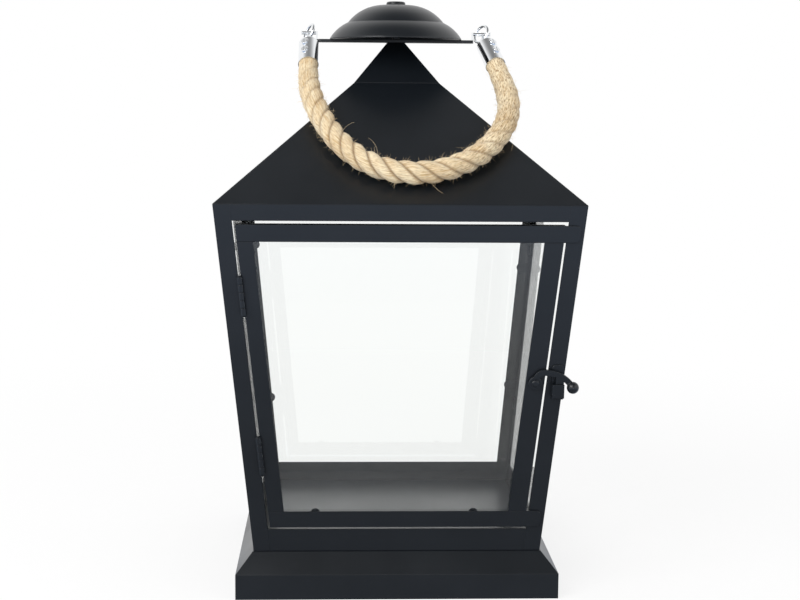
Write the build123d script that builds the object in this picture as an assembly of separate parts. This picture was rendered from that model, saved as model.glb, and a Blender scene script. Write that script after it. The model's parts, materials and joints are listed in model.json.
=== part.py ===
from build123d import *

import os
from math import asin, atan, cos, degrees, pi, radians, sin, sqrt, tan

# A square lantern with a tapered glazed cabin on a sheet-metal plinth, a hinged front door with a hook latch,
# a hipped roof with a cowl and a domed cap, and a rope handle hung from two rings.
# Millimetres. The origin is the middle of the plinth's underside, +Z is up and the door faces -Y.

# Cabin frame of leaning angle iron
foot_width = 224.0
eave_width = 280.0
cabin_height = 273.0
angle_leg = 13.0
angle_sheet = 1.2
top_rail_height = 12.5
bottom_rail_height = 18.2

# Plinth folded from sheet, with the cabin's floor on it
plinth_flare = 13.6
deck_ledge = 0.8
skirt_height = 19.8
bevel_height = 15.0
plinth_sheet = 1.0
plinth_return = 10.0
floor_sheet = 1.0
floor_margin = 0.8

# Fixed panes and the round-ended tabs that hold them
glass_thickness = 2.0
glass_corner_gap = 2.0
glass_head_gap = 0.4
tab_sheet = 0.8
tab_width = 8.0
tab_reach = 1.3
right_tab_rises = (73.2, 213.2)
left_tab_rises = (92.0, 196.0)
back_right_tab_rises = (89.8, 197.7)
back_left_tab_rises = (78.3, 217.8)
back_left_tab_reach = 2.8

# Door of angle iron, standing just proud of the posts
door_clearance = 0.3
door_leg = 13.0
hinge_stile_leg = 12.1
latch_stile_leg = 14.6
door_depth = 12.0
door_sheet = 1.2
door_hinge_gap = 2.0
door_latch_gap = 1.8
door_head_gap = 2.7
door_sill_gap = 1.9
door_stop_overlap = 10.2
door_stop_round = 4.0
door_glass_gap = 0.5
door_tab_width = 7.5
door_tab_reach = 2.0
door_head_tab_cover = 1.0
door_tabs_x = (-64.0, 59.0)

# Two pin hinges in the gap on the door's left
hinge_rises = (78.7, 203.7)
hinge_length = 30.0
hinge_knuckles = 5
knuckle_gap = 0.2
knuckle_radius = 2.2
hinge_pin_radius = 1.1
hinge_pin_clearance = 0.05
hinge_pin_head_radius = 1.6
hinge_pin_head_height = 0.8
hinge_leaf_sheet = 0.6
hinge_leaf_width = 9.0
hinge_standoff = 3.7
hinge_leaf_front = 0.6

# Hook latch on the door's right stile and its catch on the post
latch_rise = 137.2
latch_inset = 7.4
latch_spacer_height = 1.3
latch_spacer_radius = 3.6
latch_rivet_radius = 1.5
latch_rivet_clearance = 0.05
latch_rivet_head_radius = 3.0
latch_rivet_head_height = 1.8
latch_rivet_head_round = 1.4
latch_play = 0.1
hook_thickness = 2.4
hook_band = 4.6
hook_boss_radius = 5.1
hook_shoulder = (1.9, 5.9)
hook_crown = (8.9, 8.1)
hook_fall = (20.8, 4.5)
hook_ball = (28.8, -3.5)
hook_ball_radius = 4.65
hook_ball_forward = 1.0
hook_tooth_left = 15.6
hook_tooth_width = 6.2
hook_tooth_top = 6.0
hook_tooth_tip = -3.4
catch_left = 12.9
catch_width = 9.2
catch_sheet = 1.2
catch_lip_top = -0.8
catch_shelf = -10.4
catch_head = 13.5
catch_head_round = 3.0
catch_foot = -14.0
catch_clearance = 0.4

# Hipped roof and its cowl
roof_top_width = 68.6
roof_height = 90.6
roof_edge = 1.2
cowl_top_width = 14.0
cowl_height = 33.1
cowl_edge = 1.2
cowl_deck = 1.5

# Carrying bar, domed cap and the stud that clamps them
bar_width = 12.0
bar_thickness = 2.5
bar_half_length = 63.5
bar_corner = 3.0
finger_width = 3.4
dome_rim_radius = 54.0
dome_rim_height = 0.8
dome_step_radius = 39.2
dome_step_height = 13.8
dome_crown_height = 28.0
dome_crown_radius = 9.5
dome_sheet = 0.9
lower_dome_bulge = 1.5
upper_dome_bulge = 3.9
knob_radius = 7.8
knob_edge = 1.0
knob_height = 2.8
stud_radius = 3.0
stud_clearance = 0.1
stud_nut_width = 10.0
stud_nut_height = 5.0
stud_nut_play = 1.5
knob_cover = 1.2

# Rope handle: rings on pins at the bar's ends, chromed cups and the rope between them
ring_radius = 7.3
ring_wire_radius = 1.2
left_ring_twist = -31.0
right_ring_twist = 40.0
ring_axis_rise = 5.0
ring_end_clearance = 0.6
ring_pin_radius = 1.4
ring_pin_foot = 1.5
ring_pin_tail_sheet = 1.0
ring_pin_tail_reach = 8.0
rope_roof_gap = 0.8
left_ring_x = -71.0
right_ring_x = 70.5
left_cup_splay = 0.0
right_cup_splay = 13.0
cup_radius = 8.2
cup_wall = 1.0
cup_crown = 1.5
cup_top = 13.4
cup_length = 27.5
cup_round = 2.0
lug_width = 6.4
lug_thickness = 2.0
lug_bar = 2.2
lug_clearance = 0.3
rope_radius = 9.0
rope_plug_clearance = 0.1
rope_plug_root = 2.0
screw_head_radius = 3.2
screw_head_height = 1.4
screw_head_round = 0.8
screw_shank_radius = 1.25
screw_length = 5.0
screw_slot_width = 0.7
screw_slot_depth = 0.5
screw_drops = (7.5, 17.5)
screw_turn = 22.0

# Points of the rope in the plane of the handle: sideways, down the handle, and off that plane
rope_route = [
    (-71.0, 41.2, 0.0),
    (-71.0, 62.8, 0.0),
    (-66.5, 89.2, 2.4),
    (-57.0, 116.1, 2.2),
    (-42.0, 142.1, 1.5),
    (-19.5, 162.1, 0.9),
    (9.5, 169.0, 0.5),
    (38.0, 163.6, 0.9),
    (62.0, 147.0, 1.4),
    (79.0, 123.5, 1.8),
    (87.6, 95.1, 1.0),
    (85.55, 65.19, 0.0),
    (79.77, 40.14, 0.0),
]
rope_bend_share = 0.45

# Levels and offsets that follow from the sizes above
cabin_foot = skirt_height + bevel_height
eave = cabin_foot + cabin_height
roof_top = eave + roof_height
bar_bottom = roof_top + cowl_height
bar_top = bar_bottom + bar_thickness
pivot_height = bar_top + ring_axis_rise
dome_top = bar_top + dome_crown_height
lean = atan((eave_width - foot_width) / 2 / cabin_height)
roof_run = (eave_width - roof_top_width) / 2
roof_slope = atan(roof_height / roof_run)
bottom_rail_top = cabin_foot + bottom_rail_height
top_rail_bottom = eave - top_rail_height
door_bottom = bottom_rail_top + door_sill_gap
door_top = top_rail_bottom - door_head_gap
sill_ledge = cabin_foot + angle_sheet
turns = {"front": 0, "left": -90, "back": 180, "right": 90}
corners = {"front_left": 0, "back_left": -90, "back_right": 180, "front_right": 90}

parts = {}


def half_width(level):
    # Half the cabin's outside width at a level.
    rise = (level - cabin_foot) / cabin_height
    return (foot_width + (eave_width - foot_width) * rise) / 2


def outline(level, points):
    return make_face(Polyline(*[(x, y, level) for x, y in points], close=True))


def taper(low, high, low_points, high_points):
    # A solid with flat sides between two level outlines.
    return loft([outline(low, low_points), outline(high, high_points)], ruled=True)


def box_points(left, right, front, back):
    return [(left, front), (right, front), (right, back), (left, back)]


def slab(low, high, sides):
    # A block that leans with the cabin. Its sides are given for a half width.
    return taper(low, high, box_points(*sides(half_width(low))), box_points(*sides(half_width(high))))


def square_points(half):
    return box_points(-half, half, -half, half)


def turned(side, shape):
    return Rot(0, 0, turns[side]) * shape


def grouped(shapes):
    # Several like solids kept apart in one piece.
    return Compound(children=[shape.solid() for shape in shapes])


def cylinder_between(start, end, radius):
    direction = Vector(end) - Vector(start)
    face = Plane(origin=start, z_dir=direction) * Circle(radius)
    return extrude(face, amount=direction.length, dir=direction.normalized())


def face_plane(x, level, inward=0.0):
    # A plane on the cabin's front face, looking out of it, set back from the face by inward.
    normal = Vector(0, -cos(lean), -sin(lean))
    point = Vector(x, -half_width(level) + inward, level)
    return Plane(origin=point, x_dir=(1, 0, 0), z_dir=normal)


# Plinth: an open-bottomed folded sheet with a lip turned in underneath
def make_plinth():
    foot_half = foot_width / 2
    deck_half = foot_half + deck_ledge
    skirt_half = foot_half + plinth_flare
    bevel_run = skirt_half - deck_half
    slope = sqrt(bevel_run**2 + bevel_height**2)
    shift = plinth_sheet * (slope - bevel_height) / bevel_run
    inner_skirt = skirt_half - plinth_sheet
    inner_top = cabin_foot - plinth_sheet
    inner_knee = skirt_height - shift
    inner_foot = inner_skirt - (inner_top - inner_knee) * bevel_run / bevel_height
    body = taper(0, skirt_height, square_points(skirt_half), square_points(skirt_half))
    body += taper(skirt_height, cabin_foot, square_points(skirt_half), square_points(deck_half))
    body -= taper(plinth_sheet, inner_knee, square_points(inner_skirt), square_points(inner_skirt))
    body -= taper(inner_knee, inner_top, square_points(inner_skirt), square_points(inner_foot))
    mouth = skirt_half - plinth_return
    body -= taper(0, plinth_sheet, square_points(mouth), square_points(mouth))
    parts["base_plinth"] = body


def make_floor():
    inset = angle_sheet + glass_thickness + floor_margin
    half = half_width(sill_ledge) - inset
    parts["floor_plate"] = taper(
        sill_ledge, sill_ledge + floor_sheet, square_points(half), square_points(half)
    )


# Cabin frame: four posts and eight rails, each an angle
def make_posts():
    front_leg = slab(cabin_foot, eave, lambda w: (-w, -w + angle_leg, -w, -w + angle_sheet))
    side_leg = slab(cabin_foot, eave, lambda w: (-w, -w + angle_sheet, -w, -w + angle_leg))
    post = front_leg + side_leg
    for corner, turn in corners.items():
        parts[f"post_{corner}"] = Rot(0, 0, turn) * post


def make_rails():
    def web(w):
        return (-w + angle_leg, w - angle_leg, -w, -w + angle_sheet)

    def flange(w):
        return (-w + angle_leg, w - angle_leg, -w, -w + angle_leg)

    top_rail = slab(top_rail_bottom, eave, web) + slab(eave - angle_sheet, eave, flange)
    bottom_rail = slab(cabin_foot, bottom_rail_top, web) + slab(cabin_foot, sill_ledge, flange)
    for side in turns:
        parts[f"top_rail_{side}"] = turned(side, top_rail)
        parts[f"bottom_rail_{side}"] = turned(side, bottom_rail)


# Fixed panes, each held on its inside by four tabs welded to the posts
def pane_tab(rise, reach, width):
    level = cabin_foot + rise
    back_face = angle_sheet + glass_thickness
    end = reach - width / 2
    tongue = slab(
        level - width / 2,
        level + width / 2,
        lambda w: (-w + angle_sheet, -w + end, -w + back_face, -w + back_face + tab_sheet),
    )
    tip_plane = face_plane(-half_width(level) + end, level, back_face)
    tip = extrude(tip_plane * Circle(width / 2), amount=-tab_sheet * cos(lean))
    return tongue + tip


def make_panes():
    inset = angle_sheet + glass_thickness + glass_corner_gap
    pane = slab(
        sill_ledge,
        eave - angle_sheet - glass_head_gap,
        lambda w: (-w + inset, w - inset, -w + angle_sheet, -w + angle_sheet + glass_thickness),
    )
    for side, rises, far_rises, far_reach in (
        ("back", back_right_tab_rises, back_left_tab_rises, back_left_tab_reach),
        ("left", left_tab_rises, left_tab_rises, tab_reach),
        ("right", right_tab_rises, right_tab_rises, tab_reach),
    ):
        tabs = [pane_tab(rise, angle_leg + tab_reach, tab_width) for rise in rises]
        far_tabs = [pane_tab(rise, angle_leg + far_reach, tab_width) for rise in far_rises]
        tabs += [mirror(tab, about=Plane.YZ) for tab in far_tabs]
        parts[f"glass_{side}"] = turned(side, pane)
        parts[f"pane_tabs_{side}"] = grouped([turned(side, tab) for tab in tabs])


# Door: two stiles between two rails, the rails running on over the right post as stops
def door_left(w):
    return -w + angle_leg + door_hinge_gap


def door_right(w):
    return w - angle_leg - door_latch_gap


def door_face(w):
    return (-w - door_clearance - door_sheet, -w - door_clearance)


def door_flange_back(w):
    return -w - door_clearance - door_sheet + door_depth


def make_door_stiles():
    low, high = door_bottom + door_leg, door_top - door_leg
    flange_low, flange_high = door_bottom + door_sheet, door_top - door_sheet
    hinge_stile = slab(low, high, lambda w: (door_left(w), door_left(w) + hinge_stile_leg, *door_face(w)))
    hinge_stile += slab(
        flange_low,
        flange_high,
        lambda w: (door_left(w), door_left(w) + door_sheet, door_face(w)[1], door_flange_back(w)),
    )
    latch_stile = slab(low, high, lambda w: (door_right(w) - latch_stile_leg, door_right(w), *door_face(w)))
    latch_stile += slab(
        flange_low,
        flange_high,
        lambda w: (door_right(w) - door_sheet, door_right(w), door_face(w)[1], door_flange_back(w)),
    )
    pivot = latch_plane()
    hole = extrude(pivot * Circle(latch_rivet_radius), amount=door_depth, both=True)
    parts["door_hinge_stile"] = hinge_stile
    parts["door_latch_stile"] = latch_stile - hole


def stop_end(w):
    return w - angle_leg + door_stop_overlap


def door_strip(low):
    # The face of a door rail, drawn flat on the door's front with its right end rounded.
    high, rise = low + door_leg, door_leg / cos(lean)
    low_half, high_half = half_width(low), half_width(high)
    corners_flat = [
        (door_left(low_half), 0),
        (stop_end(low_half), 0),
        (stop_end(high_half), rise),
        (door_left(high_half), rise),
    ]
    flat = Polygon(*corners_flat, align=None)
    flat = fillet(flat.vertices().sort_by(Axis.X)[-2:], door_stop_round)
    front = face_plane(0, low, -door_clearance - door_sheet)
    return extrude(front * flat, amount=door_sheet, dir=(0, 1, 0))


def make_door_rails():
    def flange(w):
        return (door_left(w), door_right(w), door_face(w)[1], door_flange_back(w))

    for name, low, flange_low in (
        ("door_top_rail", door_top - door_leg, door_top - door_sheet),
        ("door_bottom_rail", door_bottom, door_bottom),
    ):
        parts[name] = door_strip(low) + slab(flange_low, flange_low + door_sheet, flange)


def make_door_glass():
    inset = door_sheet + door_glass_gap
    back = glass_thickness - door_clearance
    parts["door_glass"] = slab(
        door_bottom + door_sheet,
        door_top - door_sheet - glass_head_gap,
        lambda w: (door_left(w) + inset, door_right(w) - inset, -w - door_clearance, -w + back),
    )
    tip = door_tab_width / 2
    depth = -tab_sheet * cos(lean)
    sill_tip = door_bottom + door_leg + door_tab_reach - tip
    head_tip = door_top - door_leg + door_head_tab_cover + tip
    tabs = []
    for x in door_tabs_x:
        for tip_level, root in ((sill_tip, door_bottom + door_sheet), (head_tip, door_top - door_sheet)):
            tab = slab(
                min(tip_level, root),
                max(tip_level, root),
                lambda w, x=x: (x - tip, x + tip, -w + back, -w + back + tab_sheet),
            )
            tab += extrude(face_plane(x, tip_level, back) * Circle(tip), amount=depth)
            tabs.append(tab)
    parts["door_tabs"] = grouped(tabs)


# Hinges: the axis leans with the left post and stands in front of the gap
def hinge_point(level):
    w = half_width(level)
    return Vector(-w + angle_leg + door_hinge_gap / 2, -w - hinge_standoff, level)


def hinge_plane(level):
    # Its Z runs up the hinge, its X points to the door and its Y into the cabin.
    axis = (hinge_point(eave) - hinge_point(cabin_foot)).normalized()
    inward = Vector(0, 1, 0)
    return Plane(origin=hinge_point(level), x_dir=inward.cross(axis).normalized(), z_dir=axis)


def make_hinge(name, level):
    plane = hinge_plane(level)
    pitch = (hinge_length + knuckle_gap) / hinge_knuckles
    knuckle = pitch - knuckle_gap
    bore = hinge_pin_radius + hinge_pin_clearance
    half = hinge_length / 2
    neck_x = (door_hinge_gap * cos(lean) - hinge_leaf_sheet) / 2
    neck_front = (bore + knuckle_radius) / 2
    neck_back = hinge_standoff - hinge_leaf_front / 2
    low, high = level - half, level + half
    leaves = {}
    leaves["frame"] = slab(
        low,
        high,
        lambda w: (
            -w + angle_leg,
            -w + angle_leg + hinge_leaf_sheet,
            -w - hinge_leaf_front,
            -w + angle_sheet + hinge_leaf_sheet,
        ),
    )
    leaves["frame"] += slab(
        low,
        high,
        lambda w: (
            -w + angle_leg - hinge_leaf_width,
            -w + angle_leg + hinge_leaf_sheet,
            -w + angle_sheet,
            -w + angle_sheet + hinge_leaf_sheet,
        ),
    )
    leaves["door"] = slab(
        low,
        high,
        lambda w: (
            door_left(w) - hinge_leaf_sheet,
            door_left(w),
            -w - hinge_leaf_front,
            -w - hinge_leaf_front + hinge_leaf_width,
        ),
    )
    for n in range(hinge_knuckles):
        leaf, side = ("frame", -1) if n % 2 == 0 else ("door", 1)
        start = -half + n * pitch
        barrel = extrude(Plane.XY.offset(start) * Circle(knuckle_radius), amount=knuckle)
        neck = Box(hinge_leaf_sheet, neck_back - neck_front, knuckle)
        barrel += Pos(side * neck_x, (neck_front + neck_back) / 2, start + knuckle / 2) * neck
        barrel -= extrude(Plane.XY.offset(start) * Circle(bore), amount=knuckle)
        leaves[leaf] += plane.location * barrel
    pin = extrude(Plane.XY.offset(-half) * Circle(hinge_pin_radius), amount=hinge_length)
    head = extrude(Plane.XY.offset(half) * Circle(hinge_pin_head_radius), amount=hinge_pin_head_height)
    pin += head + mirror(head, about=Plane.XY)
    parts[f"hinge_{name}_frame_leaf"] = leaves["frame"]
    parts[f"hinge_{name}_door_leaf"] = leaves["door"]
    parts[f"hinge_{name}_pin"] = plane.location * pin


# Latch: everything is laid out on the cabin's front face about the pivot of the hook
def latch_plane():
    level = cabin_foot + latch_rise
    return face_plane(door_right(half_width(level)) - latch_inset, level)


def raised(height):
    return latch_plane().offset(height)


def make_latch():
    door_front = (door_clearance + door_sheet) * cos(lean)
    hook_back = door_front + latch_spacer_height
    hook_front = hook_back + hook_thickness
    bore = latch_rivet_radius + latch_rivet_clearance

    spacer = raised(door_front) * (Circle(latch_spacer_radius) - Circle(latch_rivet_radius))
    parts["latch_spacer"] = extrude(spacer, amount=latch_spacer_height)

    shank_back = door_clearance * cos(lean)
    head_base = hook_front + latch_play
    rivet = extrude(raised(shank_back) * Circle(latch_rivet_radius), amount=head_base - shank_back)
    head = extrude(Circle(latch_rivet_head_radius), amount=latch_rivet_head_height)
    head = fillet(head.edges().sort_by(Axis.Z)[-1], latch_rivet_head_round)
    parts["latch_rivet"] = rivet + raised(head_base).location * head

    spine = ThreePointArc((0, 0), hook_shoulder, hook_crown)
    spine += ThreePointArc(hook_crown, hook_fall, hook_ball)
    shape = trace(spine, hook_band) + Circle(hook_boss_radius)
    tooth = Rectangle(hook_tooth_width, hook_tooth_top - hook_tooth_tip, align=(Align.MIN, Align.MIN))
    shape += Pos(hook_tooth_left, hook_tooth_tip) * tooth
    shape -= Circle(bore)
    hook = extrude(shape, amount=hook_thickness)
    ball_height = hook_thickness / 2 + hook_ball_forward
    hook += Pos(*hook_ball, ball_height) * Sphere(hook_ball_radius)
    parts["latch_hook"] = raised(hook_back).location * hook

    lip_back = hook_front + catch_clearance
    lip_front = lip_back + catch_sheet
    shelf_bottom = catch_shelf - catch_sheet
    profile = [
        (catch_foot, 0),
        (catch_foot, catch_sheet),
        (shelf_bottom, catch_sheet),
        (shelf_bottom, lip_front),
        (catch_lip_top, lip_front),
        (catch_lip_top, lip_back),
        (catch_shelf, lip_back),
        (catch_shelf, catch_sheet),
        (catch_head, catch_sheet),
        (catch_head, 0),
    ]
    edge = Polyline(*[(catch_left, up, out) for up, out in profile], close=True)
    catch = extrude(make_face(edge), amount=catch_width, dir=(1, 0, 0))
    catch = fillet(catch.edges().filter_by(Axis.Z).group_by(Axis.Y)[-1], catch_head_round)
    parts["latch_catch"] = latch_plane().location * catch


# Roof: four panels mitred at the hips, with the cowl on their open top
def make_roof():
    low_half, high_half = eave_width / 2, roof_top_width / 2

    def panel_points(half):
        inner = half - roof_edge
        return [(-half, -half), (half, -half), (inner, -inner), (-inner, -inner)]

    panel = taper(eave, roof_top, panel_points(low_half), panel_points(high_half))
    for side in turns:
        parts[f"roof_panel_{side}"] = turned(side, panel)


def make_cowl():
    low_half, high_half = roof_top_width / 2, cowl_top_width / 2
    slope = (low_half - high_half) / cowl_height
    deck_half = high_half + slope * cowl_deck
    shell = taper(roof_top, bar_bottom, square_points(low_half), square_points(high_half))
    shell -= taper(
        roof_top,
        bar_bottom - cowl_deck,
        square_points(low_half - cowl_edge),
        square_points(deck_half - cowl_edge),
    )
    shell -= cylinder_between((0, 0, roof_top), (0, 0, bar_top), stud_radius + stud_clearance)
    parts["roof_cowl"] = shell


# Carrying bar: a flat strip, with a chromed pin at each end that passes through a ring
def ring_reach(splay, twist):
    # Room that a twisted ring needs along its pin, to each side of its middle.
    axle_share = cos(radians(twist)) * cos(radians(splay))
    return ring_radius * sqrt(1 - axle_share**2) + ring_wire_radius + ring_end_clearance


def make_ring_pin(name, side, near, far):
    # A foot on the bar's finger, the pin, and a tail that keeps the ring on.
    foot_x = near - side * ring_pin_foot / 2
    foot_top = pivot_height + ring_pin_radius
    pin = Pos(foot_x, 0, (bar_top + foot_top) / 2) * Box(ring_pin_foot, finger_width, foot_top - bar_top)
    tail_x = far + side * ring_pin_tail_sheet / 2
    tail = Box(ring_pin_tail_sheet, finger_width / 2 + ring_pin_tail_reach, finger_width)
    pin += Pos(tail_x, (ring_pin_tail_reach - finger_width / 2) / 2, pivot_height) * tail
    pin += cylinder_between((foot_x, 0, pivot_height), (tail_x, 0, pivot_height), ring_pin_radius)
    parts[f"ring_pin_{name}"] = pin


def make_bar():
    bar = Box(2 * bar_half_length, bar_width, bar_thickness)
    bar = fillet(bar.edges().filter_by(Axis.Z), bar_corner)
    middle = bar_bottom + bar_thickness / 2
    bar = Pos(0, 0, middle) * bar
    for name, side, ring_x, splay, twist in (
        ("left", -1, left_ring_x, left_cup_splay, left_ring_twist),
        ("right", 1, right_ring_x, right_cup_splay, right_ring_twist),
    ):
        reach = side * ring_reach(splay, twist)
        near, far = ring_x - reach, ring_x + reach
        start = side * (bar_half_length - bar_corner)
        bar += Pos((start + near) / 2, 0, middle) * Box(abs(near - start), finger_width, bar_thickness)
        make_ring_pin(name, side, near, far)
    bar -= cylinder_between((0, 0, bar_bottom), (0, 0, bar_top), stud_radius + stud_clearance)
    parts["carry_bar"] = bar


def bulged_arc(start, end, bulge):
    # An arc from start to end whose middle stands off the chord, away from the axis.
    chord = Vector(end) - Vector(start)
    normal = Vector(chord.Z, 0, -chord.X).normalized()
    middle = (Vector(start) + Vector(end)) * 0.5 + normal * bulge
    return ThreePointArc(start, middle, end)


def dome_solid(shrink):
    # The dome's outside, or its inside when it is shrunk by the sheet.
    rim = dome_rim_radius - shrink
    step = dome_step_radius - shrink
    step_level = bar_top + dome_step_height - shrink
    top = dome_top - shrink
    foot, knee = (rim, 0, bar_top), (rim, 0, bar_top + dome_rim_height)
    waist, crown = (step, 0, step_level), (dome_crown_radius, 0, top)
    edges = Line((0, 0, bar_top), foot) + Line(foot, knee)
    edges += bulged_arc(knee, waist, lower_dome_bulge) + bulged_arc(waist, crown, upper_dome_bulge)
    edges += Line(crown, (0, 0, top)) + Line((0, 0, top), (0, 0, bar_top))
    return revolve(make_face(edges), axis=Axis.Z)


def make_dome():
    hole = cylinder_between((0, 0, bar_top), (0, 0, dome_top), stud_radius + stud_clearance)
    parts["dome_cap"] = dome_solid(0) - dome_solid(dome_sheet) - hole

    knob = extrude(Circle(knob_radius), amount=knob_height)
    knob = fillet(knob.edges().sort_by(Axis.Z)[-1], knob_height - knob_edge)
    bore = extrude(Circle(stud_radius + stud_clearance), amount=knob_height - knob_cover)
    parts["dome_knob"] = Pos(0, 0, dome_top) * (knob - bore)

    deck_bottom = bar_bottom - cowl_deck
    nut_bottom = deck_bottom - stud_nut_height
    stud_top = dome_top + knob_height - knob_cover - stud_clearance
    parts["dome_stud"] = cylinder_between((0, 0, nut_bottom - stud_nut_play), (0, 0, stud_top), stud_radius)
    nut = RegularPolygon(stud_nut_width / 2, 6, major_radius=False) - Circle(stud_radius + stud_clearance)
    parts["stud_nut"] = Pos(0, 0, nut_bottom) * extrude(nut, amount=stud_nut_height)


# Handle: worked out at rest, dipping forward until the rope lies on the roof
def rest_dip():
    # The dip below level at which the rope just clears the front roof panel.
    pivot_off_roof = (pivot_height - eave) * cos(roof_slope) - eave_width / 2 * sin(roof_slope)
    over_panel = [(along, lift) for x, along, lift in rope_route if along * cos(roof_slope) > abs(x)]
    short = max((rope_radius + rope_roof_gap - lift - pivot_off_roof) / along for along, lift in over_panel)
    return roof_slope - asin(short)


handle_dip = rest_dip()


def handle_down():
    return Vector(0, -cos(handle_dip), -sin(handle_dip))


def handle_off():
    return Vector(0, -sin(handle_dip), cos(handle_dip))


def handle_point(x, along, lift):
    return Vector(x, 0, pivot_height) + handle_down() * along + handle_off() * lift


def cup_axis(splay):
    # The way a cup points, splayed sideways from straight down the handle.
    return Vector(sin(radians(splay)), 0, 0) + handle_down() * cos(radians(splay))


def ring_plane(ring_x, splay, twist):
    # Its Z runs down the cup, and its X is the axle that the ring is bent round.
    axis = cup_axis(splay)
    across = Vector(1, 0, 0)
    across = (across - axis * across.dot(axis)).normalized()
    axle = across * cos(radians(twist)) + axis.cross(across) * sin(radians(twist))
    return Plane(origin=(ring_x, 0, pivot_height), x_dir=axle, z_dir=axis)


def make_cup(side, ring_x, splay, twist):
    outward = -1 if ring_x < 0 else 1
    place = ring_plane(ring_x, splay, -outward * twist).location
    parts[f"handle_ring_{side}"] = place * Rot(0, 90, 0) * Torus(ring_radius, ring_wire_radius)

    cup = extrude(Plane.XY.offset(cup_top) * Circle(cup_radius), amount=cup_length)
    cup = fillet(cup.edges().sort_by(Axis.Z)[0], cup_round)
    bore_top = cup_top + cup_crown
    bore = extrude(Plane.XY.offset(bore_top) * Circle(cup_radius - cup_wall), amount=cup_length)
    ring_inside = ring_radius - ring_wire_radius
    lug_end = ring_inside - lug_clearance - lug_bar
    lug_height = cup_top + cup_crown / 2 - lug_end
    lug = Box(lug_width, lug_thickness, lug_height, align=(Align.CENTER, Align.CENTER, Align.MIN))
    lug = Pos(0, 0, lug_end) * lug
    tip_edges = [e for e in lug.edges().filter_by(Axis.Y) if e.center().Z < cup_top]
    lug = fillet(tip_edges, lug_width / 2 - lug_clearance)
    eye_low = ring_inside - lug_clearance
    eye_high = ring_radius + ring_wire_radius + 2 * lug_clearance
    eye = Rot(90, 0, 0) * Cylinder((eye_high - eye_low) / 2, 2 * lug_thickness)
    cup = cup + lug - bore - Pos(0, 0, (eye_low + eye_high) / 2) * eye

    facing = handle_off() * cos(radians(screw_turn)) + Vector(outward * sin(radians(screw_turn)), 0, 0)
    axis = cup_axis(splay)
    facing = (facing - axis * facing.dot(axis)).normalized()
    cup = place * cup
    plug_radius = cup_radius - cup_wall - rope_plug_clearance
    centre = Vector(ring_x, 0, pivot_height)
    plug_end = cup_top + cup_length + rope_plug_root
    plug_start = bore_top + rope_plug_clearance
    plug = cylinder_between(centre + axis * plug_start, centre + axis * plug_end, plug_radius)
    screws = []
    for drop in screw_drops:
        seat = centre + axis * (cup_top + drop) + facing * cup_radius
        head = extrude(Circle(screw_head_radius), amount=screw_head_height)
        head = fillet(head.edges().sort_by(Axis.Z)[-1], screw_head_round)
        slot = Box(2 * screw_head_radius, screw_slot_width, 2 * screw_slot_depth)
        head -= Pos(0, 0, screw_head_height) * slot
        shank = Cylinder(screw_shank_radius, screw_length, align=(Align.CENTER, Align.CENTER, Align.MAX))
        screw = Plane(origin=seat, x_dir=axis, z_dir=facing).location * (head + shank)
        hole = cylinder_between(seat, seat - facing * screw_length, screw_shank_radius)
        cup -= hole
        plug -= hole
        screws.append(screw)
    parts[f"rope_cup_{side}"] = cup
    return plug, screws


def make_handle():
    left_plug, left_screws = make_cup("left", left_ring_x, left_cup_splay, left_ring_twist)
    right_plug, right_screws = make_cup("right", right_ring_x, right_cup_splay, right_ring_twist)
    parts["cup_screws"] = grouped(left_screws + right_screws)

    points = [handle_point(*point) for point in rope_route]
    runs = [(b - a) for a, b in zip(points, points[1:])]
    radii = []
    for before, after in zip(runs, runs[1:]):
        turn = radians(before.get_angle(after))
        radii.append(rope_bend_share * min(before.length, after.length) / tan(turn / 2))
    path = FilletPolyline(*points, radius=radii)
    tube = sweep(Plane(origin=path @ 0, z_dir=path % 0) * Circle(rope_radius), path=path)
    print("rope bend radii", [round(radius, 1) for radius in radii])
    share = tube.volume / (pi * rope_radius**2 * path.length)
    print("handle dip", round(degrees(handle_dip), 3))
    print("rope length", round(path.length, 1), "volume against section by length", round(share, 5))
    parts["rope_handle"] = tube + left_plug + right_plug


make_plinth()
make_floor()
make_posts()
make_rails()
make_panes()
make_door_stiles()
make_door_rails()
make_door_glass()
for hinge_name, hinge_rise in zip(("lower", "upper"), hinge_rises):
    make_hinge(hinge_name, cabin_foot + hinge_rise)
make_latch()
make_roof()
make_cowl()
make_bar()
make_dome()
make_handle()

os.makedirs("parts", exist_ok=True)
for node, shape in parts.items():
    export_step(shape, f"parts/{node}.step")
print(len(parts), "pieces written")
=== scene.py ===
import bpy
import json
import math
import random
from mathutils import Matrix, Vector, noise


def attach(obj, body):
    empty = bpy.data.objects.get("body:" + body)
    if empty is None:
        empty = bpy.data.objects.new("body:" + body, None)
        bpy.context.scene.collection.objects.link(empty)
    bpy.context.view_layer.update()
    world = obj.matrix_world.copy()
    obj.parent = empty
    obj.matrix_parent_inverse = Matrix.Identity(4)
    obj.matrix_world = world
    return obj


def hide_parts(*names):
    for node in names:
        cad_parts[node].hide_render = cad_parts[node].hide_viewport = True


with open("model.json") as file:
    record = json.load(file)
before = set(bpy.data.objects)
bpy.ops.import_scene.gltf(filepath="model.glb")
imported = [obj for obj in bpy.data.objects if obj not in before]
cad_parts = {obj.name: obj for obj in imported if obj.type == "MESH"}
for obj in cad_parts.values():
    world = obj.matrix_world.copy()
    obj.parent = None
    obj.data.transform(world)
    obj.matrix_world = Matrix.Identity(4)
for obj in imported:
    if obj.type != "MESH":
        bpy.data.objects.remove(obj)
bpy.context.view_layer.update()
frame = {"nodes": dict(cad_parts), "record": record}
cadNodes = frame["nodes"]
bpy.context.scene.view_settings.view_transform = "Standard"
print("frame loaded,", len(cadNodes), "pieces")

mm = 0.001  # sizes below are in millimetres unless they say otherwise


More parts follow.
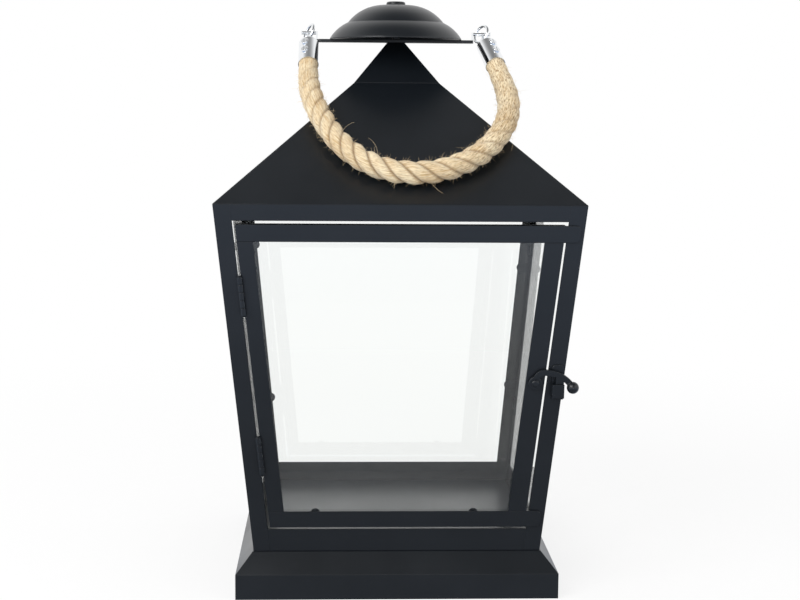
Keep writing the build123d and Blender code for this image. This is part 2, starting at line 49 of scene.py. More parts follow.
def hexColour(code):
    # sRGB hex to the linear colour that sockets take
    shares = [int(code[i:i + 2], 16) / 255 for i in (1, 3, 5)]
    return [s / 12.92 if s <= 0.04045 else ((s + 0.055) / 1.055) ** 2.4 for s in shares] + [1.0]


def addNode(tree, kind, settings=None, sockets=None):
    # sockets takes plain values, or the output socket to link from
    node = tree.nodes.new("ShaderNode" + kind)
    for name, value in (settings or {}).items():
        setattr(node, name, value)
    for name, value in (sockets or {}).items():
        if isinstance(value, bpy.types.NodeSocket):
            tree.links.new(value, node.inputs[name])
        else:
            node.inputs[name].default_value = value
    return node


# node settings that repeat
smoothly = {"interpolation_type": "SMOOTHSTEP"}
colourMix = {"data_type": "RGBA"}  # colours go in sockets 6 and 7, and come out of output 2
numberMix = {"data_type": "FLOAT"}  # numbers go in sockets 2 and 3, and come out of output 0


def newMaterial(name):
    material = bpy.data.materials.new(name)
    material.use_nodes = True
    material.node_tree.nodes.clear()
    return material, material.node_tree


def perMetre(size):
    # texture scale for a pattern that repeats every size millimetres
    return 1 / (size * mm)


# Camera, at the angle that the photograph was taken from
photoCamera = {
    "place": (-0.0471, -1.2916, 0.3853),  # metres
    "turn": (82.6428, -0.4493, -2.2650),  # degrees
    "lens": 69.83,
    "sensor": 36.0,
}
cameraData = bpy.data.cameras.new("photoCamera")
cameraData.lens = photoCamera["lens"]
cameraData.sensor_width = photoCamera["sensor"]
camera = bpy.data.objects.new("photoCamera", cameraData)
camera.location = photoCamera["place"]
camera.rotation_euler = [math.radians(angle) for angle in photoCamera["turn"]]
bpy.context.scene.collection.objects.link(camera)
bpy.context.scene.camera = camera
print("camera placed")

# Rope handle: three strands laid right-handed, one closed skin with their grooves and yarns
rope = {
    "route": [  # sideways, down the handle, off its plane
        (-71.0, 41.2, 0.0),
        (-71.0, 62.8, 0.0),
        (-66.5, 89.2, 2.4),
        (-57.0, 116.1, 2.2),
        (-42.0, 142.1, 1.5),
        (-19.5, 162.1, 0.9),
        (9.5, 169.0, 0.5),
        (38.0, 163.6, 0.9),
        (62.0, 147.0, 1.4),
        (79.0, 123.5, 1.8),
        (87.6, 95.1, 1.0),
        (85.55, 65.19, 0.0),
        (79.77, 40.14, 0.0),
    ],
    "pivotHeight": 439.0,
    "dip": 40.331,  # degrees that the handle hangs below level
    "lineOrder": 3,
    "stepsPerPoint": 40,
    "sides": 150,
    "diameter": 18.0,
    "skinRadius": 9.2,
    "mouthRadius": 8.0,  # squeezed where it goes into a cup
    "flare": 40.0,  # from a cup's mouth to its full thickness
    "plugRadius": 7.0,
    "plugDepth": 6.0,
    "plugShoulder": 0.1,  # past the mouth, where the rope narrows to its plug
    "strands": 3,
    "lay": 43.0,  # length of one turn of a strand
    "layPhase": 0.6,
    "grooves": [  # share of the length, share of the radius that the grooves cut in
        (0.00, 0.05),
        (0.12, 0.11),
        (0.26, 0.23),
        (0.45, 0.26),
        (0.62, 0.21),
        (0.76, 0.10),
        (0.90, 0.05),
        (1.00, 0.04),
    ],
    "grooveSharpness": 2.2,
    "yarnSpacing": 2.3,
    "yarnHeight": 0.26,
    "yarnLay": 150.0,  # the yarns twist against the strands
    "yarnShift": 2.1,  # radians from one strand's yarns to the next one's
    "lumps": 0.4,
    "lumpLength": 6.0,
    "lumpShift": 7.0,  # keeps the strands' lumps apart
    "lumpSink": 0.5,  # lumps mostly dip in, so that the rope keeps its thickness
}


def handlePoint(x, along, lift):
    dip = math.radians(rope["dip"])
    down = Vector((0, -math.cos(dip), -math.sin(dip)))
    off = Vector((0, -math.sin(dip), math.cos(dip)))
    return (Vector((x, 0, rope["pivotHeight"])) + down * along + off * lift) * mm


def readSpline(points):
    # points along a NURBS line that has these as its control points
    curve = bpy.data.curves.new("ropeLine", "CURVE")
    curve.dimensions = "3D"
    spline = curve.splines.new("NURBS")
    spline.points.add(len(points) - 1)
    for target, point in zip(spline.points, points):
        target.co = (*point, 1)
    spline.order_u = rope["lineOrder"]
    spline.use_endpoint_u = True
    spline.resolution_u = rope["stepsPerPoint"]
    holder = bpy.data.objects.new("ropeLine", curve)
    line = bpy.data.meshes.new_from_object(holder)
    found = [vertex.co.copy() for vertex in line.vertices]
    bpy.data.meshes.remove(line)
    bpy.data.objects.remove(holder)
    bpy.data.curves.remove(curve)
    return found


def ease(share):
    return share * share * (3 - 2 * share)


def between(stops, share):
    # smooth value between listed stops
    for (startShare, startValue), (endShare, endValue) in zip(stops, stops[1:]):
        if share <= endShare:
            part = (share - startShare) / (endShare - startShare)
            return startValue + (endValue - startValue) * ease(part)
    return stops[-1][1]


def lineFrames(points):
    # a tangent and two side directions at each point, turned as little as possible
    tangents = []
    for n in range(len(points)):
        before, after = points[max(n - 1, 0)], points[min(n + 1, len(points) - 1)]
        tangents.append((after - before).normalized())
    side = tangents[0].orthogonal().normalized()
    frames = []
    for tangent in tangents:
        side = (side - tangent * side.dot(tangent)).normalized()
        frames.append((tangent, side, tangent.cross(side)))
    return frames


def lengthsAlong(points):
    travelled = [0.0]
    for before, after in zip(points, points[1:]):
        travelled.append(travelled[-1] + (after - before).length)
    return travelled


def strandProfile(run, total, angle):
    # radius of the skin in millimetres
    turn = angle / (2 * math.pi) - run / rope["lay"] - rope["layPhase"]
    place = (turn * rope["strands"]) % 1.0
    strand = int((turn % 1.0) * rope["strands"])
    fromCrown = abs(2 * place - 1)
    fromMouth = min(run, total - run) / rope["flare"]
    full = rope["mouthRadius"] + (rope["skinRadius"] - rope["mouthRadius"]) * ease(min(fromMouth, 1))
    groove = between(rope["grooves"], run / total) * fromCrown ** rope["grooveSharpness"]
    count = round(2 * math.pi * rope["skinRadius"] / rope["yarnSpacing"])
    yarnTurn = 2 * math.pi * run / rope["yarnLay"]
    yarn = math.cos(count * angle + count * yarnTurn + rope["yarnShift"] * strand)
    lumpPlace = run / rope["lumpLength"] + rope["lumpShift"] * strand
    lump = noise.noise(Vector((math.cos(angle), math.sin(angle), lumpPlace))) - rope["lumpSink"]
    radius = full * (1 - groove) + rope["yarnHeight"] * (yarn - 1) + rope["lumps"] * lump
    return min(radius, rope["skinRadius"])


def skinMesh(name, rings, uvRings):
    # closed tube from rings of points, with a UV corner for each
    sides = len(rings[0])
    vertices = [point for ring in rings for point in ring]
    faces, corners = [], []
    for row in range(len(rings) - 1):
        start, end = row * sides, (row + 1) * sides
        low, high = uvRings[row], uvRings[row + 1]
        for n in range(sides):
            after = (n + 1) % sides
            faces.append((start + n, start + after, end + after, end + n))
            corners += [low[n], low[n + 1], high[n + 1], high[n]]
    faces.append(tuple(reversed(range(sides))))
    faces.append(tuple((len(rings) - 1) * sides + n for n in range(sides)))
    corners += list(reversed(uvRings[0][:sides])) + uvRings[-1][:sides]
    mesh = bpy.data.meshes.new(name)
    mesh.from_pydata(vertices, [], faces)
    layer = mesh.uv_layers.new(name="layMap")
    for loop, corner in zip(layer.data, corners):
        loop.uv = corner
    mesh.polygons.foreach_set("use_smooth", [True] * len(mesh.polygons))
    mesh.validate()
    return mesh


ropePoints = readSpline([handlePoint(*point) for point in rope["route"]])
ropeFrames = lineFrames(ropePoints)
ropeRuns = lengthsAlong(ropePoints)
ropeLength = ropeRuns[-1]


def ropeRing(centre, frameHere, run, radiusLimit=None):
    # one ring of the skin, starting in a groove so that the map's seam is hidden there
    tangent, side, other = frameHere
    runHere, total = run / mm, ropeLength / mm
    start = 2 * math.pi * (runHere / rope["lay"] + rope["layPhase"])
    ring, corners = [], []
    for n in range(rope["sides"] + 1):
        angle = start + 2 * math.pi * n / rope["sides"]
        radius = strandProfile(runHere, total, angle)
        radius = min(radius, radiusLimit) if radiusLimit else radius
        corners.append((run, n / rope["sides"]))
        if n < rope["sides"]:
            ring.append(centre + (side * math.cos(angle) + other * math.sin(angle)) * radius * mm)
    return ring, corners


# a plug into the left cup, the rope, and a plug into the right cup
ringPlaces = []
for depth in (rope["plugDepth"], rope["plugShoulder"]):
    plugPlace = ropePoints[0] - ropeFrames[0][0] * depth * mm
    ringPlaces.append((plugPlace, ropeFrames[0], 0.0, rope["plugRadius"]))
ringPlaces += [(point, here, run, None) for point, here, run in zip(ropePoints, ropeFrames, ropeRuns)]
for depth in (rope["plugShoulder"], rope["plugDepth"]):
    plugPlace = ropePoints[-1] + ropeFrames[-1][0] * depth * mm
    ringPlaces.append((plugPlace, ropeFrames[-1], ropeLength, rope["plugRadius"]))
ropeRings, ropeCorners = [], []
for place in ringPlaces:
    ring, corners = ropeRing(*place)
    ropeRings.append(ring)
    ropeCorners.append(corners)
ropeObject = bpy.data.objects.new("ropeStrands", skinMesh("ropeStrands", ropeRings, ropeCorners))
bpy.context.scene.collection.objects.link(ropeObject)
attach(ropeObject, "handle")
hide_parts("rope_handle")
print("rope skin made,", round(ropeLength / mm, 1), "mm long")

# Stray fibres that stand off the rope
fibres = {
    "seed": 11,
    "short": 1100,
    "shortLength": (2.0, 5.5),
    "long": 24,
    "longLength": (10.0, 22.0),
    "radius": 0.09,  # a jute fibre is about half this, drawn thicker so that it shows
    "taper": 0.6,  # share of the thickness lost towards the tip
    "rootDepth": 0.3,
    "alongShare": (0.4, 1.0),  # how much a fibre sets off along, around and out of the rope
    "aroundShare": (-0.7, 0.7),
    "outShare": (0.25, 1.0),
    "curl": (0.8, 3.0),
    "segments": 7,
    "sides": 3,
    "fromCup": 5.0,
    "roofGap": 0.5,
    "swing": 258.0,  # degrees that the handle swings, over to the back of the roof
}
# heights and half widths of the roof panels, which the fibres keep clear of
roofShape = {"eave": 307.8, "eaveHalf": 140.0, "top": 398.4, "topHalf": 34.3}
draw = random.Random(fibres["seed"])


def aboveRoof(point):
    # distance outside the hipped roof, in millimetres
    rise = roofShape["top"] - roofShape["eave"]
    run = roofShape["eaveHalf"] - roofShape["topHalf"]
    slope = math.hypot(rise, run)
    reach = max(abs(point.x), abs(point.y)) / mm - roofShape["eaveHalf"]
    return (reach * rise + (point.z / mm - roofShape["eave"]) * run) / slope


def clearOfRoof(point):
    # with the handle in front, and with it swung over to the back
    pivot = Vector((0, 0, rope["pivotHeight"] * mm))
    swung = pivot + Matrix.Rotation(-math.radians(fibres["swing"]), 3, "X") @ (point - pivot)
    return min(aboveRoof(point), aboveRoof(swung)) > fibres["roofGap"]


def fibreLine(length):
    n = draw.randrange(len(ropePoints))
    run = ropeRuns[n] / mm
    total = ropeLength / mm
    angle = draw.uniform(0, 2 * math.pi)
    tangent, side, other = ropeFrames[n]
    radius = strandProfile(run, total, angle)
    out = side * math.cos(angle) + other * math.sin(angle)
    around = tangent.cross(out)
    way = tangent * draw.choice((-1, 1)) * draw.uniform(*fibres["alongShare"])
    way += around * draw.uniform(*fibres["aroundShare"])
    way = (way + out * draw.uniform(*fibres["outShare"])).normalized()
    bend = Vector([draw.gauss(0, 1) for _ in range(3)]).normalized() * draw.uniform(*fibres["curl"])
    point = ropePoints[n] + out * (radius - fibres["rootDepth"]) * mm
    step = length * mm / fibres["segments"]
    line = [point]
    for _ in range(fibres["segments"]):
        way = (way + bend * (1 / fibres["segments"])).normalized()
        line.append(line[-1] + way * step)
    clear = min(run, total - run) > fibres["fromCup"]
    clear = clear and all(clearOfRoof(p) for p in line[1:])
    return line if clear else None


def fibreTube(line, vertices, faces):
    start = len(vertices)
    sides = fibres["sides"]
    for n, (point, (tangent, side, other)) in enumerate(zip(line, lineFrames(line))):
        thickness = fibres["radius"] * mm * (1 - fibres["taper"] * n / (len(line) - 1))
        for k in range(sides):
            angle = 2 * math.pi * k / sides
            vertices.append(point + (side * math.cos(angle) + other * math.sin(angle)) * thickness)
    for n in range(len(line) - 1):
        for k in range(sides):
            low, high = start + n * sides, start + (n + 1) * sides
            after = (k + 1) % sides
            faces.append((low + k, low + after, high + after, high + k))
    faces.append(tuple(start + k for k in reversed(range(sides))))
    faces.append(tuple(start + (len(line) - 1) * sides + k for k in range(sides)))


fibreVertices, fibreFaces = [], []
fibreLengths = [draw.uniform(*fibres["shortLength"]) for _ in range(fibres["short"])]
fibreLengths += [draw.uniform(*fibres["longLength"]) for _ in range(fibres["long"])]
for fibreLength in fibreLengths:
    line = fibreLine(fibreLength)
    if line:
        fibreTube(line, fibreVertices, fibreFaces)
fibreMesh = bpy.data.meshes.new("ropeFibres")
fibreMesh.from_pydata(fibreVertices, [], fibreFaces)
fibreObject = bpy.data.objects.new("ropeFibres", fibreMesh)
bpy.context.scene.collection.objects.link(fibreObject)
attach(fibreObject, "handle")
print("stray fibres made,", len(fibreFaces), "faces")

# Jute: pale, dry, matt fibres in yarns, with painted shade down in the grooves and towards the right end
juteLook = {
    "pale": "#F9EBCB",
    "brown": "#C9A56E",
    "fleck": "#9A7648",
    # painted shade down in the grooves between the strands: its colour, how far up the strands it reaches and
    # how dark it gets
    "groove": "#8F6D45",
    "grooveShadeReach": (0.62, 1.0),
    "grooveShadeStrength": 0.75,
    "streakWidth": 0.9,
    "streakLength": 14.0,
    "streakDetail": 4.0,
    "streakRoughness": 0.65,
    "patch": 26.0,
    "patchDetail": 3.0,
    "streakShare": 0.7,  # how much the streaks and the patches turn the colour
    "patchShare": 0.35,
    "shadeRange": (0.42, 0.66),  # from all pale to all brown
    "fibreWidth": 0.35,  # real fibres are finer, drawn this coarse so that they show
    "fibreLength": 5.0,
    "fibreDepth": 0.6,
    "fleckWidth": 1.0,
    "fleckLength": 3.6,
    "fleckRange": (0.46, 0.68),  # of the noise, from no fleck to a full one
    "paintedShadeRun": (0.45, 0.8),  # share of the rope's length over which the flecks get stronger, painted shade that darkens the right end
    "fleckAndShadeStrength": (0.36, 0.95),  # before and after that
    "fineDetail": 2.0,  # of the flecks and the fibres
    "roughness": 0.86,
    "sheen": 0.25,
    "sheenRoughness": 0.6,
    "ior": 1.5,
    "specular": 0.25,
}


def juteMaterial(name, laid):
    material, tree = newMaterial(name)
    output = addNode(tree, "OutputMaterial")
    shader = addNode(tree, "BsdfPrincipled", sockets={
        "Roughness": juteLook["roughness"],
        "Sheen Weight": juteLook["sheen"],
        "Sheen Roughness": juteLook["sheenRoughness"],
        "IOR": juteLook["ior"],
        "Specular IOR Level": juteLook["specular"],
    })
    tree.links.new(shader.outputs[0], output.inputs["Surface"])
    objectPlace = addNode(tree, "TexCoord").outputs["Object"]
    patches = addNode(tree, "TexNoise", sockets={
        "Vector": objectPlace, "Scale": perMetre(juteLook["patch"]), "Detail": juteLook["patchDetail"],
    })
    if not laid:
        tint = addNode(tree, "Mix", colourMix, {
            0: patches.outputs[0], 6: hexColour(juteLook["pale"]), 7: hexColour(juteLook["brown"]),
        })
        tree.links.new(tint.outputs[2], shader.inputs["Base Color"])
        return material
    layMap = addNode(tree, "SeparateXYZ", sockets={
        "Vector": addNode(tree, "UVMap", {"uv_map": "layMap"}).outputs[0],
    })
    run, turn = layMap.outputs["X"], layMap.outputs["Y"]  # metres along, turns round
    girth = 2 * math.pi * rope["skinRadius"] * mm
    around = addNode(tree, "Math", {"operation": "MULTIPLY"}, {0: turn, 1: girth})
    slant = addNode(tree, "Math", {"operation": "MULTIPLY_ADD"}, {
        0: run, 1: girth / (rope["lay"] * mm), 2: around.outputs[0],
    })
    streakPlace = addNode(tree, "CombineXYZ", sockets={"Y": slant.outputs[0]})
    tree.links.new(run, streakPlace.inputs["X"])
    streakScale = (perMetre(juteLook["streakLength"]), perMetre(juteLook["streakWidth"]), 1.0)
    streakVector = addNode(tree, "VectorMath", {"operation": "MULTIPLY"}, {
        0: streakPlace.outputs[0], 1: streakScale,
    })
    streaks = addNode(tree, "TexNoise", sockets={
        "Vector": streakVector.outputs[0], "Scale": 1.0,
        "Detail": juteLook["streakDetail"], "Roughness": juteLook["streakRoughness"],
    })
    fibreScale = (perMetre(juteLook["fibreLength"]), perMetre(juteLook["fibreWidth"]), 1.0)
    fibreVector = addNode(tree, "VectorMath", {"operation": "MULTIPLY"}, {
        0: streakPlace.outputs[0], 1: fibreScale,
    })
    fine = addNode(tree, "TexNoise", sockets={
        "Vector": fibreVector.outputs[0], "Scale": 1.0, "Detail": juteLook["fineDetail"],
    })
    patchShade = addNode(tree, "Math", {"operation": "MULTIPLY"}, {
        0: patches.outputs[0], 1: juteLook["patchShare"],
    })
    shade = addNode(tree, "Math", {"operation": "MULTIPLY_ADD"}, {
        0: streaks.outputs[0], 1: juteLook["streakShare"], 2: patchShade.outputs[0],
    })
    palest, brownest = juteLook["shadeRange"]
    shade = addNode(tree, "MapRange", sockets={
        "Value": shade.outputs[0], "From Min": palest, "From Max": brownest,
    })
    tint = addNode(tree, "Mix", colourMix, {
        0: shade.outputs[0], 6: hexColour(juteLook["pale"]), 7: hexColour(juteLook["brown"]),
    })
    runShare = addNode(tree, "Math", {"operation": "DIVIDE"}, {0: run, 1: ropeLength})
    # the flecks are the jute's own mottling; their growth towards the right end is painted shade
    (shadeStart, shadeEnd), (few, many) = juteLook["paintedShadeRun"], juteLook["fleckAndShadeStrength"]
    fleckAndShadeStrength = addNode(tree, "MapRange", smoothly, {
        "Value": runShare.outputs[0], "From Min": shadeStart, "From Max": shadeEnd,
        "To Min": few, "To Max": many,
    })
    fleckScale = (perMetre(juteLook["fleckLength"]), perMetre(juteLook["fleckWidth"]), 1.0)
    fleckVector = addNode(tree, "VectorMath", {"operation": "MULTIPLY"}, {
        0: streakPlace.outputs[0], 1: fleckScale,
    })
    flecks = addNode(tree, "TexNoise", sockets={
        "Vector": fleckVector.outputs[0], "Scale": 1.0, "Detail": juteLook["fineDetail"],
    })
    bare, full = juteLook["fleckRange"]
    flecks = addNode(tree, "MapRange", smoothly, {
        "Value": flecks.outputs[0], "From Min": bare, "From Max": full, "To Max": fleckAndShadeStrength.outputs[0],
    })
    tint = addNode(tree, "Mix", colourMix, {
        0: flecks.outputs[0], 6: tint.outputs[2], 7: hexColour(juteLook["fleck"]),
    })
    strandTurn = addNode(tree, "Math", {"operation": "MULTIPLY"}, {0: turn, 1: float(rope["strands"])})
    strandPlace = addNode(tree, "Math", {"operation": "FRACT"}, {0: strandTurn.outputs[0]})
    # 0 on a strand's crown and 1 down in the groove at either side
    fromCrown = addNode(tree, "Math", {"operation": "MULTIPLY_ADD"}, {
        0: strandPlace.outputs[0], 1: 2.0, 2: -1.0,
    })
    fromCrown = addNode(tree, "Math", {"operation": "ABSOLUTE"}, {0: fromCrown.outputs[0]})
    # painted shade in the grooves, darker where the grooves cut deeper
    low, high = juteLook["grooveShadeReach"]
    groove = addNode(tree, "MapRange", smoothly, {
        "Value": fromCrown.outputs[0], "From Min": low, "From Max": high,
        "To Max": juteLook["grooveShadeStrength"],
    })
    depth = addNode(tree, "ValToRGB", sockets={"Fac": runShare.outputs[0]})
    deepest = max(cut for share, cut in rope["grooves"])
    stops = depth.color_ramp.elements
    while len(stops) < len(rope["grooves"]):
        stops.new(0.5)  # placed below
    for stop, (share, cut) in zip(stops, rope["grooves"]):
        stop.position = share
        stop.color = [cut / deepest] * 3 + [1.0]
    paintedGrooveShade = addNode(tree, "Math", {"operation": "MULTIPLY"}, {0: groove.outputs[0], 1: depth.outputs[0]})
    shaded = addNode(tree, "Mix", colourMix, {
        0: paintedGrooveShade.outputs[0], 6: tint.outputs[2], 7: hexColour(juteLook["groove"]),
    })
    tree.links.new(shaded.outputs[2], shader.inputs["Base Color"])
    bump = addNode(tree, "Bump", sockets={
        "Height": fine.outputs[0], "Strength": 1.0, "Distance": juteLook["fibreDepth"] * mm,
    })
    tree.links.new(bump.outputs[0], shader.inputs["Normal"])
    return material


ropeObject.data.materials.append(juteMaterial("laidJute", True))
fibreMesh.materials.append(juteMaterial("looseJute", False))
print("jute made")

# Powder-coated sheet steel: near black, satin, with the fine orange peel of baked powder
paintLook = {
    "colour": "#0E1216",
    "faded": "#13181E",
    "patch": 45.0,
    "patchDetail": 4.0,
    "patchRange": (0.1, 0.9),  # of the noise, from smoothest to roughest
    "roughness": (0.27, 0.36),
    "ior": 1.5,
    "peel": 1.7,
    "peelDetail": 1.0,
    "peelDepth": 0.0012,
    "peelStrength": 0.5,
    "edgeRadius": 1.0,
    "edgeSamples": 4,
}


def paintMaterial():
    material, tree = newMaterial("powderCoatedSteel")
    output = addNode(tree, "OutputMaterial")
    place = addNode(tree, "TexCoord").outputs["Object"]
    patches = addNode(tree, "TexNoise", sockets={
        "Vector": place, "Scale": perMetre(paintLook["patch"]), "Detail": paintLook["patchDetail"],
    })
    peel = addNode(tree, "TexNoise", sockets={
        "Vector": place, "Scale": perMetre(paintLook["peel"]), "Detail": paintLook["peelDetail"],
    })
    tint = addNode(tree, "Mix", colourMix, {
        0: patches.outputs[0], 6: hexColour(paintLook["colour"]), 7: hexColour(paintLook["faded"]),
    })
    (low, high), (smooth, rough) = paintLook["patchRange"], paintLook["roughness"]
    gloss = addNode(tree, "MapRange", smoothly, {
        "Value": patches.outputs[0], "From Min": low, "From Max": high, "To Min": smooth, "To Max": rough,
    })
    edge = addNode(tree, "Bevel", {"samples": paintLook["edgeSamples"]}, {
        "Radius": paintLook["edgeRadius"] * mm,
    })
    bump = addNode(tree, "Bump", sockets={
        "Height": peel.outputs[0], "Strength": paintLook["peelStrength"],
        "Distance": paintLook["peelDepth"] * mm, "Normal": edge.outputs[0],
    })
    shader = addNode(tree, "BsdfPrincipled", sockets={
        "Base Color": tint.outputs[2], "Roughness": gloss.outputs[0],
        "IOR": paintLook["ior"], "Normal": bump.outputs[0],
    })
    tree.links.new(shader.outputs[0], output.inputs["Surface"])
    return material


# Float glass: clear, flat, faintly green, with a slight waviness in what it mirrors
glassLook = {
    "tint": "#FEFFFE",
    "roughness": 0.0,
    "ior": 1.5,
    "wave": 160.0,
    "waveDetail": 1.0,
    "waveDepth": 0.02,
    "waveStrength": 0.3,
}


def glassMaterial():
    material, tree = newMaterial("floatGlass")
    output = addNode(tree, "OutputMaterial")
    place = addNode(tree, "TexCoord").outputs["Object"]
    waves = addNode(tree, "TexNoise", sockets={
        "Vector": place, "Scale": perMetre(glassLook["wave"]), "Detail": glassLook["waveDetail"],
    })
    bump = addNode(tree, "Bump", sockets={
        "Height": waves.outputs[0], "Strength": glassLook["waveStrength"],
        "Distance": glassLook["waveDepth"] * mm,
    })
    shader = addNode(tree, "BsdfPrincipled", sockets={
        "Base Color": hexColour(glassLook["tint"]), "Roughness": glassLook["roughness"],
        "IOR": glassLook["ior"], "Transmission Weight": 1.0, "Normal": bump.outputs[0],
    })
    clear = addNode(tree, "BsdfTransparent", sockets={"Color": hexColour(glassLook["tint"])})
    path = addNode(tree, "LightPath")
    # lamps and the light from the room shine straight through
    lampRays = addNode(tree, "Math", {"operation": "MAXIMUM"}, {
        0: path.outputs["Is Shadow Ray"], 1: path.outputs["Is Diffuse Ray"],
    })
    mix = addNode(tree, "MixShader", sockets={
        0: lampRays.outputs[0], 1: shader.outputs[0], 2: clear.outputs[0],
    })
    tree.links.new(mix.outputs[0], output.inputs["Surface"])
    return material


# Chromed steel: bright mirror, with the faint haze and scuffs of cheap plating
chromeLook = {
    "colour": "#EEF0F2",
    "roughness": (0.05, 0.14),
    "scuff": 3.0,
    "scuffDetail": 5.0,
    "scuffRoughness": 0.7,
    "scuffRange": (0.35, 0.7),  # of the noise, from clean to scuffed
    "dent": 5.0,
    "dentDetail": 1.0,
    "dentDepth": 0.05,
    "dentStrength": 0.5,
}


def chromeMaterial():
    material, tree = newMaterial("chromedSteel")
    output = addNode(tree, "OutputMaterial")
    place = addNode(tree, "TexCoord").outputs["Object"]
    scuffs = addNode(tree, "TexNoise", sockets={
        "Vector": place, "Scale": perMetre(chromeLook["scuff"]),
        "Detail": chromeLook["scuffDetail"], "Roughness": chromeLook["scuffRoughness"],
    })
    dents = addNode(tree, "TexNoise", sockets={
        "Vector": place, "Scale": perMetre(chromeLook["dent"]), "Detail": chromeLook["dentDetail"],
    })
    (low, high), (smooth, rough) = chromeLook["scuffRange"], chromeLook["roughness"]
    gloss = addNode(tree, "MapRange", sockets={
        "Value": scuffs.outputs[0], "From Min": low, "From Max": high, "To Min": smooth, "To Max": rough,
    })
    bump = addNode(tree, "Bump", sockets={
        "Height": dents.outputs[0], "Strength": chromeLook["dentStrength"],
        "Distance": chromeLook["dentDepth"] * mm,
    })
    shader = addNode(tree, "BsdfPrincipled", sockets={
        "Base Color": hexColour(chromeLook["colour"]), "Metallic": 1.0, "Roughness": gloss.outputs[0],
        "Normal": bump.outputs[0],
    })
    tree.links.new(shader.outputs[0], output.inputs["Surface"])
    return material


# Zinc-plated steel: dull grey-blue metal with a soft cloudy spangle
zincLook = {
    "colour": "#A9AFB3",
    "dull": "#7F868B",
    "spangle": 2.5,
    "spangleDetail": 3.0,
    "roughness": 0.42,
}


def zincMaterial():
    material, tree = newMaterial("zincPlatedSteel")
    output = addNode(tree, "OutputMaterial")
    place = addNode(tree, "TexCoord").outputs["Object"]
    spangle = addNode(tree, "TexNoise", sockets={
        "Vector": place, "Scale": perMetre(zincLook["spangle"]), "Detail": zincLook["spangleDetail"],
    })
    tint = addNode(tree, "Mix", colourMix, {
        0: spangle.outputs[0], 6: hexColour(zincLook["colour"]), 7: hexColour(zincLook["dull"]),
    })
    shader = addNode(tree, "BsdfPrincipled", sockets={
        "Base Color": tint.outputs[2], "Metallic": 1.0, "Roughness": zincLook["roughness"],
    })
    tree.links.new(shader.outputs[0], output.inputs["Surface"])
    return material


finishes = {
    "black_paint": paintMaterial(),
    "jute_rope": fibreMesh.materials[0],
    "window_glass": glassMaterial(),
    "chromed_steel": chromeMaterial(),
    "zinc_steel": zincMaterial(),
}
for row in frame["record"]["subparts"]:
    cadMesh = cadNodes[row["node"]].data
    cadMesh.materials.clear()
    cadMesh.materials.append(finishes[row["material_slot"]])
print("finishes given to the CAD pieces")

# Floor and surroundings: white card that keeps the shadow, a painted shadow and bluish painted reflection on
# the floor that only the paint and chrome mirror, and a room that is darker overhead
studio = {
    "floorSize": 8.0,  # metres
    "card": "#F4F4F4",
    "cardGlow": 0.8,  # share of plain white near the lantern, where the rest takes the shadow
    "fadeFrom": 0.35,  # metres from the lantern, over which the floor turns all white
    "fadeTo": 1.1,
    "paintedShadowCentre": (0.0, -0.4, 0.0),  # centre of a painted shadow of the lantern on the floor, which only the paint and chrome mirror
    "mirrorNear": 0.15,  # metres from that place
    "mirrorFar": 0.85,
    # painted shadow, and the bluish painted reflection of the floor further off
    "paintedShadow": "#8E939C",
    "mirrorPale": "#C8DAF8",
    "backFrom": -0.1,  # metres, from the floor in front to the floor behind the lantern
    "backTo": 0.25,
    "mirrorBack": "#FFFFFF",
    "ambient": 0.8,
    "darkWay": (0.0, -0.34, 0.94),  # the room is darkest overhead and a little to the front
    "darkest": 0.17,
    "darkFrom": 0.45,  # cosines of the angle to that way
    "darkTo": 0.98,
}


def cardMaterial():
    material, tree = newMaterial("mattCard")
    output = addNode(tree, "OutputMaterial")
    path = addNode(tree, "LightPath")
    seen = addNode(tree, "Math", {"operation": "MAXIMUM"}, {
        0: path.outputs["Is Camera Ray"], 1: path.outputs["Is Transmission Ray"],
    })
    mirrored = addNode(tree, "Math", {"operation": "SUBTRACT", "use_clamp": True}, {
        0: path.outputs["Is Glossy Ray"], 1: path.outputs["Is Transmission Ray"],
    })
    place = addNode(tree, "TexCoord").outputs["Object"]
    away = addNode(tree, "VectorMath", {"operation": "LENGTH"}, {0: place})
    glow = addNode(tree, "MapRange", smoothly, {
        "Value": away.outputs["Value"], "From Min": studio["fadeFrom"], "From Max": studio["fadeTo"],
        "To Min": studio["cardGlow"], "To Max": 1.0,
    })
    share = addNode(tree, "Math", {"operation": "MULTIPLY"}, {0: seen.outputs[0], 1: glow.outputs[0]})
    matt = addNode(tree, "BsdfDiffuse", sockets={"Color": hexColour(studio["card"])})
    white = addNode(tree, "Emission", sockets={"Color": (1, 1, 1, 1), "Strength": 1.0})
    mix = addNode(tree, "MixShader", sockets={
        0: share.outputs[0], 1: matt.outputs[0], 2: white.outputs[0],
    })
    # the floor as the paint and chrome mirror it is painted: a shadow in front of the lantern, bluish further
    # off, white behind
    fromCentre = addNode(tree, "VectorMath", {"operation": "DISTANCE"}, {0: place, 1: studio["paintedShadowCentre"]})
    outOfPaintedShadow = addNode(tree, "MapRange", smoothly, {
        "Value": fromCentre.outputs["Value"],
        "From Min": studio["mirrorNear"], "From Max": studio["mirrorFar"],
    })
    paintedReflectionTint = addNode(tree, "Mix", colourMix, {
        0: outOfPaintedShadow.outputs[0], 6: hexColour(studio["paintedShadow"]), 7: hexColour(studio["mirrorPale"]),
    })
    depth = addNode(tree, "SeparateXYZ", sockets={"Vector": place})
    behind = addNode(tree, "MapRange", smoothly, {
        "Value": depth.outputs["Y"], "From Min": studio["backFrom"], "From Max": studio["backTo"],
    })
    paintedReflectionTint = addNode(tree, "Mix", colourMix, {
        0: behind.outputs[0], 6: paintedReflectionTint.outputs[2], 7: hexColour(studio["mirrorBack"]),
    })
    paintedReflection = addNode(tree, "Emission", sockets={"Color": paintedReflectionTint.outputs[2], "Strength": 1.0})
    card = addNode(tree, "MixShader", sockets={
        0: mirrored.outputs[0], 1: mix.outputs[0], 2: paintedReflection.outputs[0],
    })
    tree.links.new(card.outputs[0], output.inputs["Surface"])
    return material


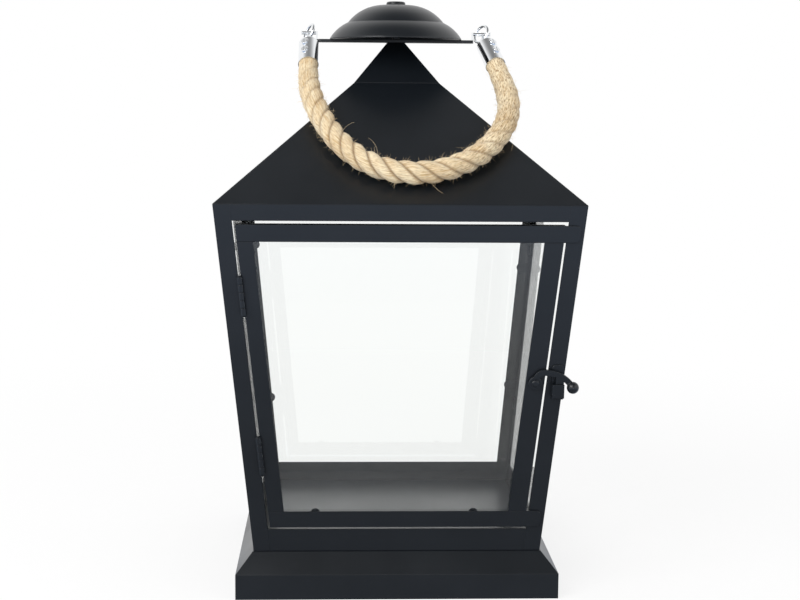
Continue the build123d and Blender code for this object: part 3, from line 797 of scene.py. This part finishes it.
halfFloor = studio["floorSize"] / 2
floorMesh = bpy.data.meshes.new("studioFloor")
floorCorners = [(x * halfFloor, y * halfFloor, 0) for x, y in ((-1, -1), (1, -1), (1, 1), (-1, 1))]
floorMesh.from_pydata(floorCorners, [], [(0, 1, 2, 3)])
floorMesh.materials.append(cardMaterial())
floorObject = bpy.data.objects.new("studioFloor", floorMesh)
bpy.context.scene.collection.objects.link(floorObject)

world = bpy.data.worlds.new("studio")
world.use_nodes = True
bpy.context.scene.world = world
tree = world.node_tree
tree.nodes.clear()
path = addNode(tree, "LightPath")
plain = addNode(tree, "Math", {"operation": "MAXIMUM"}, {
    0: path.outputs["Is Camera Ray"], 1: path.outputs["Is Transmission Ray"],
})
overhead = addNode(tree, "VectorMath", {"operation": "DOT_PRODUCT"}, {
    0: addNode(tree, "TexCoord").outputs["Generated"], 1: studio["darkWay"],
})
overhead = addNode(tree, "MapRange", smoothly, {
    "Value": overhead.outputs["Value"], "From Min": studio["darkFrom"], "From Max": studio["darkTo"],
    "To Min": 1.0, "To Max": studio["darkest"],
})
mirrored = addNode(tree, "Mix", numberMix, {
    0: path.outputs["Is Glossy Ray"], 2: studio["ambient"], 3: overhead.outputs[0],
})
strength = addNode(tree, "Mix", numberMix, {
    0: plain.outputs[0], 2: mirrored.outputs[0], 3: 1.0,
})
background = addNode(tree, "Background", sockets={"Color": (1, 1, 1, 1), "Strength": strength.outputs[0]})
addNode(tree, "OutputWorld", sockets={"Surface": background.outputs[0]})
print("floor and surroundings made")

# Soft studio lamps, in metres
lamps = {
    "leftBox": {"place": (-1.3, -1.5, 1.5), "aim": (0, 0, 0.2), "size": 1.4, "watts": 33.0},
    "rightBox": {"place": (1.5, -1.2, 1.2), "aim": (0, 0, 0.2), "size": 1.2, "watts": 4.0},
}
for lampName, lamp in lamps.items():
    lampData = bpy.data.lights.new(lampName, "AREA")
    lampData.shape = "SQUARE"
    lampData.size = lamp["size"]
    lampData.energy = lamp["watts"]
    lampObject = bpy.data.objects.new(lampName, lampData)
    lampObject.location = lamp["place"]
    aim = Vector(lamp["aim"]) - Vector(lamp["place"])
    lampObject.rotation_euler = aim.to_track_quat("-Z", "Y").to_euler()
    bpy.context.scene.collection.objects.link(lampObject)
print("lamps placed")
